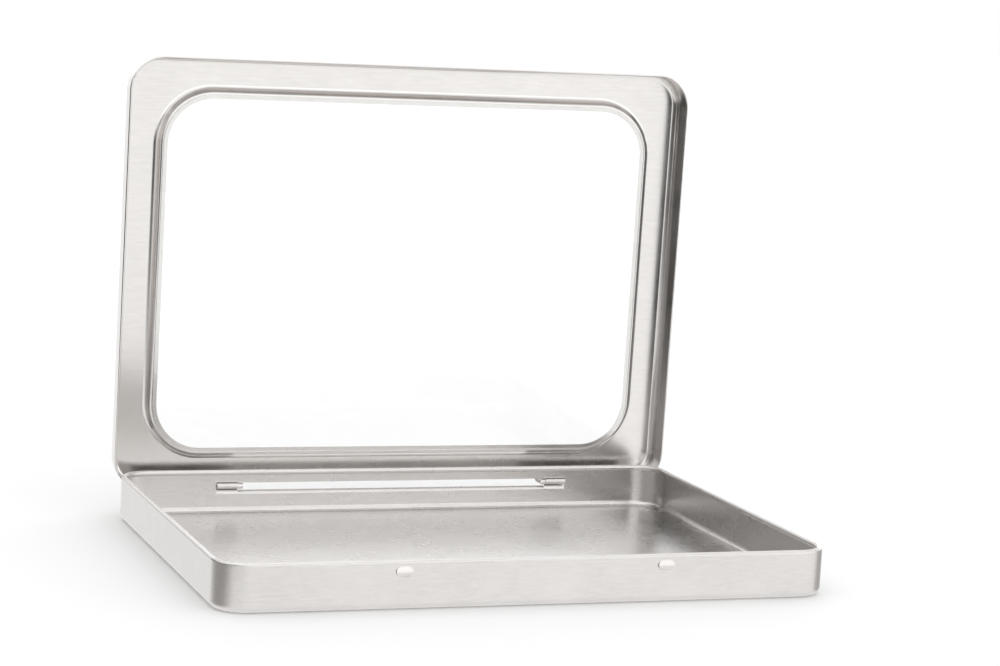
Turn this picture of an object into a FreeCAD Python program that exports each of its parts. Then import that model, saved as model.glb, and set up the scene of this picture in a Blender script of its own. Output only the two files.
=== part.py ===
import FreeCAD, Part
import math
import os

# Window tin box: a drawn tinplate tray and a hinged lid with a clear window.
# Millimetres, +Z up. The origin is the middle of the tray's underside.
# The lid is modelled shut, then turned back about its hinge to stand open.

# Tray
tray_width = 190.0
tray_depth = 140.0
tray_height = 14.5
sheet = 0.3
corner_radius = 10.0
floor_bend = 2.2
rim_radius = 0.9
rim_turn = 255.0

# Lid
lid_clearance = 0.5
seat_gap = 0.3
skirt_height = 9.0
crown_bend = 2.2
hem_height = 1.2
hem_gap = 0.1
open_angle = 88.0

# Window in the lid
frame_side = 13.8
frame_end = 13.3
window_radius = 15.0
step_bend = 2.3
step_return = 0.5
lip_width = 1.6
pane_thickness = 0.3
pane_lap = 1.4
pane_gap = 0.05

# Hinge: the lid's tongues are curled into pins that lie in barrels lanced from the rear wall
hinge_drop = 5.6
slot_half_length = 54.0
slot_fall = 1.5
slot_rise = 1.1
lip_bend = 1.3
barrel_length = 7.4
shear_gap = 0.15
foot_rise = 3.0
foot_turn = 35.0
foot_wrap = 5.0
head_rise = 1.6
head_turn = 65.0
head_wrap = 20.0
pin_gap = 0.08
pin_end_gap = 0.3
pin_turn = 280.0
neck_length = 2.0
neck_width = 1.4
neck_side_gap = 0.1
stop_gap = 0.19
notch_gap = 0.2
rear_trim_reach = 4.5
crown_cut = 0.3

# Snap bumps on the front wall
bump_spacing = 81.0
bump_length = 5.0
bump_height = 3.0
bump_drop = 3.3
bump_rise = 0.45
bump_step = 0.04
bump_ramp = 1.5
bump_bevel = 0.45

# Worked out
lid_width = tray_width + 2 * (lid_clearance + sheet)
lid_depth = tray_depth + 2 * (lid_clearance + sheet)
lid_radius = corner_radius + lid_clearance + sheet
lid_top = tray_height + seat_gap + sheet
window_width = lid_width - 2 * frame_side
window_length = lid_depth - 2 * frame_end
hinge_height = tray_height - hinge_drop
hinge_y = tray_depth / 2 - sheet / 2
pin_radius = lid_clearance + 1.5 * sheet
barrel_bore = pin_radius + pin_gap
barrel_end = slot_half_length + barrel_length
neck_start = slot_half_length - neck_side_gap - neck_width
ring_inset = 6.0
window_reach = 6.0
sideways = FreeCAD.Vector(1, 0, 0)
upwards = FreeCAD.Vector(0, 0, 1)
middle = FreeCAD.Vector(0, 0, 0)
hinge_point = FreeCAD.Vector(0, hinge_y, hinge_height)


# Unit vector in the XZ plane at an angle from +X towards +Z.
def along(angle):
    turn = math.radians(angle)
    return FreeCAD.Vector(math.cos(turn), 0, math.sin(turn))


def straight_edge(first, last):
    return Part.LineSegment(first, last).toShape()


def arc_edge(centre, radius, first, turn):
    spots = [centre + along(first + turn * share) * radius for share in (0, 0.5, 1)]
    return Part.Arc(*spots).toShape()


# Cross-section of bent sheet in the XZ plane. One skin starts at a point and follows the
# moves: (length,) is a straight run and (radius, turn) a bend, to the left when positive.
# The sheet lies to the left of that skin (side 1) or to its right (side -1).
def bent_sheet(start, heading, side, moves):
    spot = FreeCAD.Vector(start[0], 0, start[1])
    through = along(heading + 90) * side * sheet
    edges = [straight_edge(spot, spot + through)]
    for move in moves:
        if len(move) == 1:
            step = along(heading) * move[0]
            edges.append(straight_edge(spot, spot + step))
            edges.append(straight_edge(spot + through, spot + through + step))
            spot = spot + step
        else:
            radius, turn = move
            way = math.copysign(1, turn)
            centre = spot + along(heading + 90) * way * radius
            for reach in (radius, radius - side * way * sheet):
                edges.append(arc_edge(centre, reach, heading - 90 * way, turn))
            heading = heading + turn
            spot = centre - along(heading + 90) * way * radius
            through = along(heading + 90) * side * sheet
    edges.append(straight_edge(spot, spot + through))
    return Part.Face(Part.Wire(Part.__sortEdges__(edges)))


def joined(shapes):
    return shapes[0].multiFuse(shapes[1:]).removeSplitter()


# Box centred in plan with rounded upright edges.
def rounded_block(width, depth, radius, low, high):
    corner = FreeCAD.Vector(-width / 2, -depth / 2, low)
    block = Part.makeBox(width, depth, high - low, corner)
    uprights = []
    for edge in block.Edges:
        if abs(edge.Vertexes[0].Z - edge.Vertexes[1].Z) > (high - low) / 2:
            uprights.append(edge)
    return block.makeFillet(radius, uprights)


def plain_block(x_range, y_range, z_range):
    ranges = (x_range, y_range, z_range)
    size = [high - low for low, high in ranges]
    return Part.makeBox(*size, FreeCAD.Vector(*[low for low, high in ranges]))


# Carries a cross-section round a rounded rectangle, its X pointing outwards from the outline.
def ring(section, width, depth, radius):
    pieces = []
    for quarter in range(4):
        reach = (width, depth)[quarter % 2] / 2
        half = (depth, width)[quarter % 2] / 2 - radius
        near = section.translated(FreeCAD.Vector(reach, -half, 0))
        far = section.translated(FreeCAD.Vector(reach, half, 0))
        run = near.extrude(FreeCAD.Vector(0, 2 * half, 0))
        corner = far.revolve(FreeCAD.Vector(reach - radius, half, 0), upwards, 90)
        for piece in (run, corner):
            piece.rotate(middle, upwards, 90 * quarter)
            pieces.append(piece)
    return joined(pieces)


# Extrudes a cross-section drawn about the hinge axis, with X to the rear, along that axis.
def hinge_strip(section, low_x, high_x):
    upright = section.rotated(middle, upwards, 90)
    upright.translate(FreeCAD.Vector(low_x, hinge_y, hinge_height))
    return upright.extrude(FreeCAD.Vector(high_x - low_x, 0, 0))


def both_sides(shapes):
    return shapes + [shape.mirror(middle, sideways) for shape in shapes]


# Strip lanced from the wall: it leaves the wall below the axis, then wraps behind the pin.
def lanced_strip(rise, turn, wrap):
    cosine = math.cos(math.radians(turn))
    sine = math.sin(math.radians(turn))
    reach = barrel_bore + sheet / 2
    both_radii = (rise * sine - reach * cosine) / (1 - cosine)
    run = (reach * sine - rise * (1 - cosine)) / (1 - cosine)
    moves = [(both_radii - barrel_bore, -turn), (run,), (barrel_bore, turn + wrap)]
    return bent_sheet((-sheet / 2, -rise), 90, -1, moves)


# The lower strip wraps behind the pin and the upper one, turned half round, in front of it.
def barrel():
    lower = lanced_strip(foot_rise, foot_turn, foot_wrap)
    upper = lanced_strip(head_rise, head_turn, head_wrap)
    upper.rotate(middle, FreeCAD.Vector(0, 1, 0), 180)
    ends = (slot_half_length + shear_gap, barrel_end - shear_gap)
    return [hinge_strip(lower, *ends), hinge_strip(upper, *ends)]


# Oblong block lying against the front wall, from one Y to another, centred on a bump.
def oblong(x, length, height, low_y, high_y):
    block = rounded_block(length, height, height / 2.02, 0, high_y - low_y)
    block.rotate(middle, sideways, 90)
    block.translate(FreeCAD.Vector(x, high_y, tray_height - bump_drop))
    return block


# A snap bump's outer form, moved back into the wall by an inset: a long ramp above, where the
# lid rides over it, then a flat crest and a short bevel below.
def snap_form(x, inset):
    skin = inset - tray_depth / 2
    inner = skin + sheet / 2
    top = tray_height - bump_drop + bump_height / 2
    low = top - bump_height
    crest = skin - bump_rise
    upper = [(inner, top), (skin - bump_step, top), (crest, top - bump_ramp)]
    lower = [(crest, low + bump_bevel), (skin - bump_step, low), (inner, low)]
    spots = [FreeCAD.Vector(x - bump_length / 2, y, z) for y, z in upper + lower]
    wedge = Part.Face(Part.makePolygon(spots + spots[:1])).extrude(sideways * bump_length)
    return wedge.common(oblong(x, bump_length - 2 * inset, bump_height - 2 * inset, crest, inner))


def base_tray():
    wall = tray_height - floor_bend - rim_radius
    moves = [(ring_inset - floor_bend,), (floor_bend, 90), (wall,), (rim_radius, rim_turn)]
    section = bent_sheet((-ring_inset, 0), 0, 1, moves)
    shell = ring(section, tray_width, tray_depth, corner_radius)
    floor_width = tray_width - 2 * ring_inset
    floor_depth = tray_depth - 2 * ring_inset
    floor = rounded_block(floor_width, floor_depth, corner_radius - ring_inset, 0, sheet)
    tray = joined([shell, floor])

    slot_low = hinge_height - slot_fall - lip_bend
    slot_top = hinge_height + slot_rise
    through_wall = (tray_depth / 2 - 2 * sheet, tray_depth / 2 + sheet)
    slot_x = (-slot_half_length, slot_half_length)
    openings = [plain_block(slot_x, through_wall, (slot_low, slot_top))]
    lanced = (hinge_height - foot_rise, hinge_height + head_rise)
    openings = openings + both_sides([plain_block((slot_half_length, barrel_end), through_wall, lanced)])
    lip_start = (sheet / 2, slot_low - hinge_height)
    lip = bent_sheet(lip_start, 90, 1, [(lip_bend - sheet, -90)])
    bumps = []
    for x in (-bump_spacing / 2, bump_spacing / 2):
        bumps.append(snap_form(x, 0))
        openings.append(snap_form(x, sheet))
    tray = joined([tray] + bumps).cut(openings)
    lip_strip = hinge_strip(lip, *slot_x)
    return joined([tray, lip_strip] + both_sides(barrel()))


# The rear skirt's tongue: a short neck, and its end curled into the hinge pin.
def tongue():
    curl = (pin_radius, -pin_turn)
    neck = bent_sheet((pin_radius, neck_length), -90, -1, [(neck_length,), curl])
    pin = bent_sheet((pin_radius, 0), -90, -1, [curl])
    neck_end = neck_start + neck_width
    return [hinge_strip(neck, neck_start, neck_end), hinge_strip(pin, neck_end, barrel_end - pin_end_gap)]


def rear_cuts():
    below = lid_top - skirt_height - sheet
    past = lid_depth / 2 + ring_inset
    trim_y = (tray_depth / 2 - rear_trim_reach, past)
    trim = plain_block((-lid_width, lid_width), trim_y, (below, hinge_height + stop_gap))
    middle_y = (hinge_y - crown_cut, past)
    cut_out = plain_block((-neck_start, neck_start), middle_y, (below, lid_top + sheet))
    notch_x = (neck_start + neck_width, barrel_end + pin_end_gap)
    notch_top = hinge_height + barrel_bore + sheet + notch_gap
    notch = plain_block(notch_x, (tray_depth / 2, past), (below, notch_top))
    return [trim, cut_out] + both_sides([notch])


def window_lid():
    skirt = skirt_height - crown_bend - hem_gap / 2 - sheet
    hem = [(hem_gap / 2, 180), (hem_height,)]
    moves = [(ring_inset - crown_bend,), (crown_bend, -90), (skirt,)] + hem
    section = bent_sheet((-ring_inset, lid_top), 0, -1, moves)
    edge = ring(section, lid_width, lid_depth, lid_radius)

    flat = window_reach - step_bend - step_return - lip_width
    moves = [(flat,), (step_bend, 90), (step_return, -90), (lip_width,)]
    section = bent_sheet((window_reach, lid_top), 180, 1, moves)
    step = ring(section, window_width, window_length, window_radius)

    panel_size = (lid_width - 2 * ring_inset, lid_depth - 2 * ring_inset, lid_radius - ring_inset)
    panel = rounded_block(*panel_size, lid_top - sheet, lid_top)
    hole_size = (window_width + 2 * window_reach, window_length + 2 * window_reach)
    hole = rounded_block(*hole_size, window_radius + window_reach, lid_top - 2 * sheet, lid_top + sheet)
    lid = joined([edge, step, panel.cut(hole)]).cut(rear_cuts())
    return joined([lid] + both_sides(tongue()))


# Clear sheet glued to the inner side of the window's lip.
def window_pane():
    top = lid_top - step_bend - step_return - sheet - pane_gap
    width = window_width + 2 * pane_lap
    length = window_length + 2 * pane_lap
    return rounded_block(width, length, window_radius + pane_lap, top - pane_thickness, top)


def opened(shape):
    return shape.rotated(hinge_point, sideways, -open_angle)


os.makedirs("parts", exist_ok=True)
nodes = {
    "base_tray": base_tray(),
    "window_lid": opened(window_lid()),
    "window_pane": opened(window_pane()),
}
for name, shape in nodes.items():
    solid = shape.Solids[0]
    solid.exportStep("parts/" + name + ".step")
    print(name, len(shape.Solids), solid.isValid(), round(solid.Volume, 1), solid.BoundBox)
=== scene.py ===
import math
import bpy
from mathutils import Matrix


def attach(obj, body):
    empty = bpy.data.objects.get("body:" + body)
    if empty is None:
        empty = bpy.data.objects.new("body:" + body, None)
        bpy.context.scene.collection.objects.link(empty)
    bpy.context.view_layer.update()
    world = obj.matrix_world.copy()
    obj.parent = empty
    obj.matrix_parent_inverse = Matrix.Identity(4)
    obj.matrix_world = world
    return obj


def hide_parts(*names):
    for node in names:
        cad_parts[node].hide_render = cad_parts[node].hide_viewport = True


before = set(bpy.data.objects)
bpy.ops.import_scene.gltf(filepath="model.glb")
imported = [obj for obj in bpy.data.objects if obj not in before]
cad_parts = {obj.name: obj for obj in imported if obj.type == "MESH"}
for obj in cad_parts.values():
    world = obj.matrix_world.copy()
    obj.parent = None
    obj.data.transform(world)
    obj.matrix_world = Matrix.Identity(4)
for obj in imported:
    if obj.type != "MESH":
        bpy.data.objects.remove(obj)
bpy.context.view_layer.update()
print("frame loaded:", sorted(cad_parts))


def newMaterial(name):
    material = bpy.data.materials.new(name)
    material.use_nodes = True
    material.node_tree.nodes.clear()
    return material, material.node_tree


def fillSocket(tree, socket, value):
    if isinstance(value, bpy.types.NodeSocket):
        tree.links.new(value, socket)
    else:
        socket.default_value = value


def addNode(tree, kind, inputs=None, **settings):
    node = tree.nodes.new(kind)
    for key, value in settings.items():
        setattr(node, key, value)
    for key, value in (inputs or {}).items():
        fillSocket(tree, node.inputs[key], value)
    return node


def maths(tree, operation, first, second=0.0):
    node = addNode(tree, "ShaderNodeMath", operation=operation)
    for socket, value in zip(node.inputs, (first, second)):
        fillSocket(tree, socket, value)
    return node.outputs[0]


def vectorMaths(tree, operation, first, second):
    return addNode(tree, "ShaderNodeVectorMath", {0: first, 1: second}, operation=operation)


def mapRange(tree, value, fromLow, fromHigh, toLow, toHigh):
    return addNode(tree, "ShaderNodeMapRange", {
        "Value": value, "From Min": fromLow, "From Max": fromHigh,
        "To Min": toLow, "To Max": toHigh,
    }).outputs["Result"]


def mixColours(tree, factor, first, second):
    node = addNode(tree, "ShaderNodeMix", data_type="RGBA")
    for name, value in (("Factor_Float", factor), ("A_Color", first), ("B_Color", second)):
        fillSocket(tree, next(s for s in node.inputs if s.identifier == name), value)
    return next(s for s in node.outputs if s.identifier == "Result_Color")


def newGroup(name, inputs, outputs):
    group = bpy.data.node_groups.new(name, "ShaderNodeTree")
    for socketName, socketType, default in inputs:
        socket = group.interface.new_socket(name=socketName, in_out="INPUT", socket_type=socketType)
        if default is not None:
            socket.default_value = default
    for socketName, socketType in outputs:
        group.interface.new_socket(name=socketName, in_out="OUTPUT", socket_type=socketType)
    return group, group.nodes.new("NodeGroupInput"), group.nodes.new("NodeGroupOutput")


def useGroup(tree, group, inputs):
    return addNode(tree, "ShaderNodeGroup", inputs, node_tree=group)


grainShape = {
    "stretch": (0.14, 1, 1),
    "gritFineness": 2.3,
    "streakShare": 0.4,
    "gritShare": 0.6,
}


# grain of rolled sheet: fine streaks along X with grit between them, and a soft mottle
def makeSheetGrain():
    group, gin, gout = newGroup("sheetGrain", [
        ("Vector", "NodeSocketVector", None),
        ("Fineness", "NodeSocketFloat", 900.0),
        ("Mottle Size", "NodeSocketFloat", 60.0),
    ], [("Streaks", "NodeSocketFloat"), ("Mottle", "NodeSocketFloat"), ("Height", "NodeSocketFloat")])
    place, fineness = gin.outputs["Vector"], gin.outputs["Fineness"]
    stretched = addNode(group, "ShaderNodeMapping", {"Vector": place, "Scale": grainShape["stretch"]})
    streaks = addNode(group, "ShaderNodeTexNoise", {
        "Vector": stretched.outputs[0], "Scale": fineness, "Detail": 4.0, "Roughness": 0.62})
    grit = addNode(group, "ShaderNodeTexNoise", {
        "Vector": place, "Scale": maths(group, "MULTIPLY", fineness, grainShape["gritFineness"]),
        "Detail": 3.0, "Roughness": 0.6})
    mottle = addNode(group, "ShaderNodeTexNoise", {
        "Vector": place, "Scale": gin.outputs["Mottle Size"], "Detail": 5.0, "Roughness": 0.55})
    total = maths(group, "ADD", maths(group, "MULTIPLY", streaks.outputs[0], grainShape["streakShare"]),
                  maths(group, "MULTIPLY", grit.outputs[0], grainShape["gritShare"]))
    group.links.new(streaks.outputs[0], gout.inputs["Streaks"])
    group.links.new(mottle.outputs[0], gout.inputs["Mottle"])
    group.links.new(total, gout.inputs["Height"])
    return group


rubShape = {
    "alikeness": (0.995, 0.85),
    "patchScale": 260.0,
    "patchRange": (0.35, 0.6),
    "leastRub": 0.35,
}


# where hands and stacking have rubbed: cut edges, rolled rims and bends
def makeEdgeRub():
    group, gin, gout = newGroup("edgeRub", [
        ("Width", "NodeSocketFloat", 0.0004),
        ("Vector", "NodeSocketVector", None),
    ], [("Mask", "NodeSocketFloat")])
    rounded = addNode(group, "ShaderNodeBevel", {"Radius": gin.outputs["Width"]}, samples=4)
    facing = addNode(group, "ShaderNodeNewGeometry").outputs["Normal"]
    alike = vectorMaths(group, "DOT_PRODUCT", rounded.outputs[0], facing)
    edge = mapRange(group, alike.outputs["Value"], *rubShape["alikeness"], 0.0, 1.0)
    patches = addNode(group, "ShaderNodeTexNoise", {
        "Vector": gin.outputs["Vector"], "Scale": rubShape["patchScale"], "Detail": 3.0})
    patchy = mapRange(group, patches.outputs[0], *rubShape["patchRange"], rubShape["leastRub"], 1.0)
    group.links.new(maths(group, "MULTIPLY", edge, patchy), gout.inputs["Mask"])
    return group


markShape = {
    "warpScale": 14.0,
    "warpReach": (0.02, 0.02, 0.02),
    "scratchTurn": (0.4, 0.3, 0.9),
    "scratchStretch": (0.08, 1, 1),
    "scratchRange": (0.69, 0.74),
    "smudgeRange": (0.52, 0.72),
}


# fine hairline scratches and faint finger smudges
def makeHandling():
    group, gin, gout = newGroup("handling", [
        ("Vector", "NodeSocketVector", None),
        ("Scratch Scale", "NodeSocketFloat", 240.0),
        ("Smudge Scale", "NodeSocketFloat", 28.0),
    ], [("Scratches", "NodeSocketFloat"), ("Smudges", "NodeSocketFloat")])
    place = gin.outputs["Vector"]
    warp = addNode(group, "ShaderNodeTexNoise", {
        "Vector": place, "Scale": markShape["warpScale"], "Detail": 2.0})
    bent = vectorMaths(group, "MULTIPLY", warp.outputs["Color"], markShape["warpReach"])
    moved = vectorMaths(group, "ADD", place, bent.outputs[0])
    turned = addNode(group, "ShaderNodeMapping", {
        "Vector": moved.outputs[0], "Rotation": markShape["scratchTurn"],
        "Scale": markShape["scratchStretch"]})
    lines = addNode(group, "ShaderNodeTexNoise", {
        "Vector": turned.outputs[0], "Scale": gin.outputs["Scratch Scale"], "Detail": 1.5})
    scratches = mapRange(group, lines.outputs[0], *markShape["scratchRange"], 0.0, 1.0)
    cloud = addNode(group, "ShaderNodeTexNoise", {
        "Vector": moved.outputs[0], "Scale": gin.outputs["Smudge Scale"], "Detail": 4.0, "Roughness": 0.6})
    smudges = mapRange(group, cloud.outputs[0], *markShape["smudgeRange"], 0.0, 1.0)
    group.links.new(scratches, gout.inputs["Scratches"])
    group.links.new(smudges, gout.inputs["Smudges"])
    return group


sheetGrain = makeSheetGrain()
edgeRub = makeEdgeRub()
handling = makeHandling()
print("finish groups made")

trayTinplate = {
    "light": (0.70, 0.682, 0.668, 1),
    "dark": (0.63, 0.612, 0.598, 1),
    "worn": (0.75, 0.74, 0.73, 1),
    "roughness": 0.27,
}

# the tray's tinplate made lighter: painted light that brightens the lid
lidTinplatePaintedLight = {
    "light": (0.77, 0.752, 0.738, 1),
    "dark": (0.72, 0.702, 0.688, 1),
    "worn": (0.80, 0.79, 0.78, 1),
    "roughness": 0.2,
}

# what both tins share; the marks change the roughness and the height a little
tinFinish = {
    "fineness": 1300.0,
    "mottleSize": 55.0,
    "rubWidth": 0.0003,
    "rubStrength": 0.7,
    "scratchScale": 260.0,
    "smudgeScale": 24.0,
    "streakTone": 0.6,
    "mottleTone": 0.4,
    "toneRange": (0.35, 0.65),
    "mottleRange": (0.3, 0.7),
    "roughnessDrop": 0.02,
    "roughnessRise": 0.03,
    "markRoughness": 0.02,
    "scratchDepth": 0.06,
    "grainDepth": 0.00001,
    "grainStrength": 0.6,
}


def makeTinplate(name, look):
    material, tree = newMaterial(name)
    finish = tinFinish
    place = addNode(tree, "ShaderNodeTexCoord").outputs["Object"]
    grain = useGroup(tree, sheetGrain, {
        "Vector": place, "Fineness": finish["fineness"], "Mottle Size": finish["mottleSize"]})
    rub = useGroup(tree, edgeRub, {"Vector": place, "Width": finish["rubWidth"]})
    marks = useGroup(tree, handling, {
        "Vector": place, "Scratch Scale": finish["scratchScale"], "Smudge Scale": finish["smudgeScale"]})
    scratches, smudges = marks.outputs["Scratches"], marks.outputs["Smudges"]
    tone = maths(tree, "ADD", maths(tree, "MULTIPLY", grain.outputs["Streaks"], finish["streakTone"]),
                 maths(tree, "MULTIPLY", grain.outputs["Mottle"], finish["mottleTone"]))
    tone = mapRange(tree, tone, *finish["toneRange"], 0.0, 1.0)
    colour = mixColours(tree, tone, look["dark"], look["light"])
    worn = maths(tree, "MULTIPLY", rub.outputs["Mask"], finish["rubStrength"])
    colour = mixColours(tree, worn, colour, look["worn"])
    rough = mapRange(tree, grain.outputs["Mottle"], *finish["mottleRange"],
                     look["roughness"] - finish["roughnessDrop"],
                     look["roughness"] + finish["roughnessRise"])
    for mark in (smudges, scratches):
        rough = maths(tree, "ADD", rough, maths(tree, "MULTIPLY", mark, finish["markRoughness"]))
    height = maths(tree, "SUBTRACT", grain.outputs["Height"],
                   maths(tree, "MULTIPLY", scratches, finish["scratchDepth"]))
    bump = addNode(tree, "ShaderNodeBump", {
        "Height": height, "Distance": finish["grainDepth"], "Strength": finish["grainStrength"]})
    metal = addNode(tree, "ShaderNodeBsdfPrincipled", {
        "Base Color": colour, "Metallic": 1.0, "Roughness": rough, "Normal": bump.outputs[0]})
    out = addNode(tree, "ShaderNodeOutputMaterial")
    tree.links.new(metal.outputs[0], out.inputs["Surface"])
    return material


clearSheet = {
    "tint": (0.985, 0.99, 0.99, 1),
    "shadowTint": (0.95, 0.96, 0.96, 1),
    "roughness": 0.03,
    "ior": 1.5,
    "scratchScale": 200.0,
    "smudgeScale": 30.0,
    "smudgeRoughness": 0.05,
    "scratchRoughness": 0.1,
    "scratchDepth": 0.000004,
}


def makeClearSheet(look):
    material, tree = newMaterial("clearSheet")
    place = addNode(tree, "ShaderNodeTexCoord").outputs["Object"]
    marks = useGroup(tree, handling, {
        "Vector": place, "Scratch Scale": look["scratchScale"], "Smudge Scale": look["smudgeScale"]})
    scratches, smudges = marks.outputs["Scratches"], marks.outputs["Smudges"]
    rough = maths(tree, "ADD", maths(tree, "MULTIPLY", smudges, look["smudgeRoughness"]), look["roughness"])
    rough = maths(tree, "ADD", rough, maths(tree, "MULTIPLY", scratches, look["scratchRoughness"]))
    bump = addNode(tree, "ShaderNodeBump", {"Height": scratches, "Distance": look["scratchDepth"]})
    glass = addNode(tree, "ShaderNodeBsdfPrincipled", {
        "Base Color": look["tint"], "Metallic": 0.0, "Roughness": rough, "IOR": look["ior"],
        "Transmission Weight": 1.0, "Normal": bump.outputs[0]})
    through = addNode(tree, "ShaderNodeBsdfTransparent", {"Color": look["shadowTint"]})
    rays = addNode(tree, "ShaderNodeLightPath")
    mixed = addNode(tree, "ShaderNodeMixShader", {
        0: rays.outputs["Is Shadow Ray"], 1: glass.outputs[0], 2: through.outputs[0]})
    out = addNode(tree, "ShaderNodeOutputMaterial")
    tree.links.new(mixed.outputs[0], out.inputs["Surface"])
    return material


smoothing = {"mergeGap": 0.000002, "sharpAngle": 50}


# a merged copy of a solid, so that its bends shade smoothly and its cut edges stay crisp
def smoothPiece(nodeName, pieceName, body, material):
    piece = bpy.data.objects.new(pieceName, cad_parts[nodeName].data.copy())
    bpy.context.scene.collection.objects.link(piece)
    bpy.ops.object.select_all(action="DESELECT")
    bpy.context.view_layer.objects.active = piece
    piece.select_set(True)
    bpy.ops.object.mode_set(mode="EDIT")
    bpy.ops.mesh.select_all(action="SELECT")
    bpy.ops.mesh.remove_doubles(threshold=smoothing["mergeGap"])
    bpy.ops.object.mode_set(mode="OBJECT")
    if piece.data.has_custom_normals:
        bpy.ops.mesh.customdata_custom_splitnormals_clear()
    bpy.ops.object.shade_smooth_by_angle(angle=math.radians(smoothing["sharpAngle"]))
    weighted = piece.modifiers.new("flatFacesFirst", "WEIGHTED_NORMAL")
    weighted.keep_sharp = True
    bpy.ops.object.modifier_apply(modifier=weighted.name)
    piece.data.materials.clear()
    piece.data.materials.append(material)
    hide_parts(nodeName)
    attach(piece, body)


trayMetal = makeTinplate("trayTinplate", trayTinplate)
lidMetal = makeTinplate("lidTinplatePaintedLight", lidTinplatePaintedLight)
smoothPiece("base_tray", "trayShell", "tray", trayMetal)
smoothPiece("window_lid", "lidShell", "lid", lidMetal)
smoothPiece("window_pane", "clearPane", "lid", makeClearSheet(clearSheet))
print("tray, lid and pane finished")

studio = {
    "floorSize": 12.0,
    "floorHeight": -0.0002,
    "floorColour": (0.87, 0.87, 0.87, 1),
    "floorRoughness": 0.7,
    "farGlow": 0.12,
    "glowReach": (0.12, 1.3),
    "farReach": (0.2, 0.45),
}

# painted reflection: the tones the floor glows with for rays the metal has mirrored, by direction, brighter
# than white; the dark patches in it are painted shade
paintedFloorReflection = {
    "base": (1.07, 1.065, 1.06, 1),
    "patches": (
        {"side": (0.45, -0.88, 0), "spread": (0.5, 0.85), "tone": (1.14, 1.135, 1.13, 1)},
        {"side": (-0.978, 0.208, 0), "spread": (0.6, 0.93), "tone": (0.42, 0.41, 0.4, 1)},
        {"side": (0.94, 0.342, 0), "spread": (0.85, 0.95), "tone": (0.5, 0.495, 0.49, 1)},
        # painted dark reflection, kept to the far floor
        {"side": (-0.857, -0.515, 0), "spread": (0.5, 0.68), "tone": (0.08, 0.077, 0.074, 1),
         "mask": "far"},
        # painted corner shade: darkens only rays that the metal has mirrored twice or more
        {"side": (-0.375, -0.927, 0), "spread": (0.8, 0.92), "tone": (0.04, 0.038, 0.036, 1),
         "mask": "cornerShade"},
    ),
}

# and of the room above it, which lights the scene; one patch in it is painted corner shade
room = {
    "base": (0.9, 0.895, 0.89, 1),
    "patches": (
        {"side": (0, 1, 0), "spread": (0.1, 0.5), "tone": (1.6, 1.6, 1.6, 1)},
        {"side": (0.45, -0.88, 0.15), "spread": (0.55, 0.85), "tone": (1.6, 1.6, 1.6, 1)},
        {"side": (-0.99, 0.139, 0), "spread": (0.3, 0.5), "tone": (0.3, 0.292, 0.284, 1)},
        # painted corner shade: darkens only rays that the metal has mirrored three times or more
        {"side": (-0.857, -0.515, 0), "spread": (0.5, 0.68), "tone": (0.06, 0.058, 0.056, 1),
         "mask": "cornerShade"},
        {"side": (0, 0, 1), "spread": (0.27, 0.45), "tone": (1.08, 1.08, 1.08, 1)},
        {"side": (0, 0, 1), "spread": (0.6, 0.8), "tone": (1.22, 1.22, 1.22, 1)},
    ),
}

# how many times the metal has mirrored a ray: at least once for the floor's painted reflection, and more in
# a corner for the painted corner shade
mirrorCount = {"once": 0.5, "floorCornerShadeFrom": 1.5, "roomCornerShadeFrom": 2.5}


# soft patches of tone, each in one direction and laid over those before it; a mask keeps one to the far
# floor, or to rays that the metal has mirrored again and again in a corner, where it paints shade
def layPatches(tree, direction, look, masks):
    colour = look["base"]
    for part in look["patches"]:
        towards = vectorMaths(tree, "DOT_PRODUCT", direction, part["side"])
        patch = mapRange(tree, towards.outputs["Value"], *part["spread"], 0.0, 1.0)
        if "mask" in part:
            patch = maths(tree, "MULTIPLY", patch, masks[part["mask"]])
        colour = mixColours(tree, patch, colour, part["tone"])
    return colour


# pale and plain to the eye, with the far part lifted to the same white as the part round the box; for rays
# the metal has mirrored, the floor instead glows with painted reflections by direction, painted shade among
# them
def makeFloor():
    bpy.ops.object.select_all(action="DESELECT")
    bpy.ops.mesh.primitive_plane_add(size=studio["floorSize"], location=(0, 0, studio["floorHeight"]))
    floor = bpy.context.object
    floor.name = "studioFloor"
    material, tree = newMaterial("paleFloorPaintedReflection")
    board = addNode(tree, "ShaderNodeBsdfPrincipled", {
        "Base Color": studio["floorColour"], "Roughness": studio["floorRoughness"],
        "Specular IOR Level": 0.2})
    place = addNode(tree, "ShaderNodeTexCoord").outputs["Object"]
    away = addNode(tree, "ShaderNodeVectorMath", {0: place}, operation="LENGTH").outputs["Value"]
    glow = mapRange(tree, away, *studio["glowReach"], 0.0, studio["farGlow"])
    lifted = addNode(tree, "ShaderNodeEmission", {"Strength": glow})
    toEye = addNode(tree, "ShaderNodeAddShader", {0: board.outputs[0], 1: lifted.outputs[0]})
    depth = addNode(tree, "ShaderNodeLightPath").outputs["Glossy Depth"]
    masks = {
        "far": mapRange(tree, away, *studio["farReach"], 0.0, 1.0),
        # painted corner shade for rays that the metal has mirrored twice or more
        "cornerShade": maths(tree, "GREATER_THAN", depth, mirrorCount["floorCornerShadeFrom"]),
    }
    # painted reflection: for mirrored rays the floor glows with tones chosen by the ray's direction
    incoming = addNode(tree, "ShaderNodeNewGeometry").outputs["Incoming"]
    direction = vectorMaths(tree, "MULTIPLY", incoming, (-1, -1, -1))
    paintedReflectionTones = layPatches(tree, direction.outputs[0], paintedFloorReflection, masks)
    toMetal = addNode(tree, "ShaderNodeEmission", {"Color": paintedReflectionTones})
    mirrored = maths(tree, "GREATER_THAN", depth, mirrorCount["once"])
    mixed = addNode(tree, "ShaderNodeMixShader", {
        0: mirrored, 1: toEye.outputs[0], 2: toMetal.outputs[0]})
    out = addNode(tree, "ShaderNodeOutputMaterial")
    tree.links.new(mixed.outputs[0], out.inputs["Surface"])
    floor.data.materials.append(material)


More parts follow.
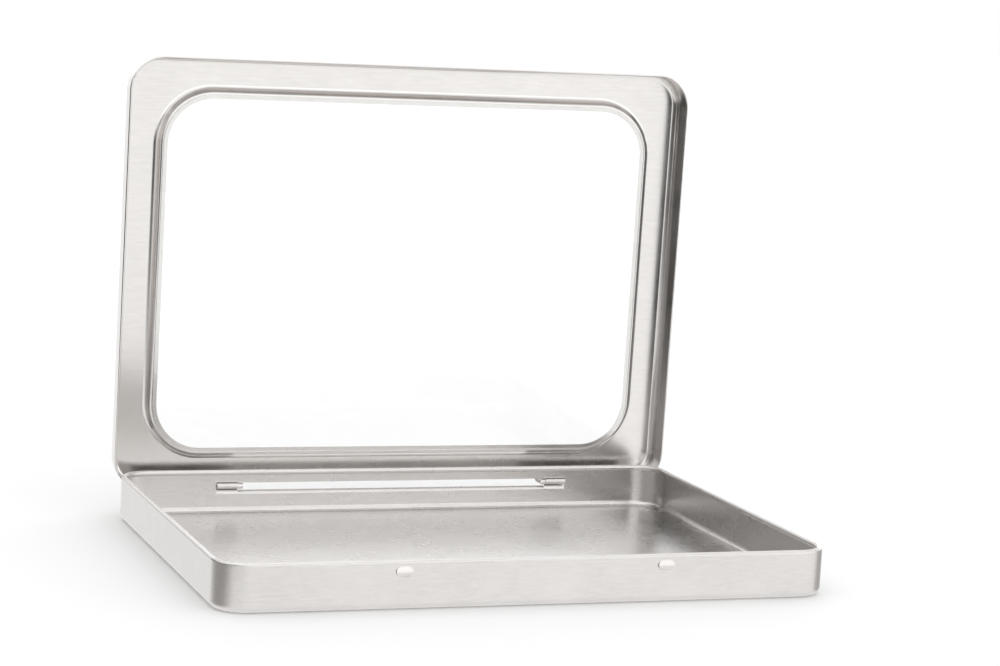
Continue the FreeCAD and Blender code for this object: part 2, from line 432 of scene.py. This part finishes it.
# plain white to the eye, also through the clear sheet
def makeRoom():
    world = bpy.data.worlds.new("studioRoom")
    bpy.context.scene.world = world
    world.use_nodes = True
    tree = world.node_tree
    tree.nodes.clear()
    direction = addNode(tree, "ShaderNodeTexCoord").outputs["Generated"]
    rays = addNode(tree, "ShaderNodeLightPath")
    depth = rays.outputs["Glossy Depth"]
    # painted corner shade for rays that the metal has mirrored three times or more
    masks = {"cornerShade": maths(tree, "GREATER_THAN", depth, mirrorCount["roomCornerShadeFrom"])}
    toMetal = addNode(tree, "ShaderNodeBackground", {"Color": layPatches(tree, direction, room, masks)})
    toEye = addNode(tree, "ShaderNodeBackground", {"Color": (1, 1, 1, 1)})
    through = maths(tree, "MULTIPLY", rays.outputs["Is Transmission Ray"],
                    maths(tree, "LESS_THAN", depth, mirrorCount["once"]))
    seen = maths(tree, "MAXIMUM", rays.outputs["Is Camera Ray"], through)
    both = addNode(tree, "ShaderNodeMixShader", {0: seen, 1: toMetal.outputs[0], 2: toEye.outputs[0]})
    out = addNode(tree, "ShaderNodeOutputWorld")
    tree.links.new(both.outputs[0], out.inputs["Surface"])


overPanel = {"place": (-0.2, -0.1, 1.2), "size": (1.2, 1.0), "power": 1.0}


def makeLamp(name, look):
    bpy.ops.object.light_add(type="AREA", location=look["place"])
    holder = bpy.context.object
    holder.name = name
    holder.data.shape = "RECTANGLE"
    holder.data.size, holder.data.size_y = look["size"]
    holder.data.energy = look["power"]


makeFloor()
makeRoom()
makeLamp("overPanel", overPanel)
print("studio made")

view = {
    "place": (-0.2844, -0.8141, 0.1849),
    "turn": 19.87,
    "drop": 7.55,
    "tilt": 3.01,
    "lens": 100.8,
    "sensor": 36.0,
    "nearest": 0.05,
}
cameraData = bpy.data.cameras.new("viewCamera")
cameraData.sensor_width = view["sensor"]
cameraData.lens = view["lens"]
cameraData.clip_start = view["nearest"]
camera = bpy.data.objects.new("viewCamera", cameraData)
bpy.context.scene.collection.objects.link(camera)
camera.location = view["place"]
camera.rotation_euler = (math.radians(90 - view["drop"]), 0, math.radians(-view["turn"]))
camera.rotation_euler.rotate_axis("Z", math.radians(view["tilt"]))
bpy.context.scene.camera = camera
bpy.context.scene.view_settings.view_transform = "Standard"
print("view set")
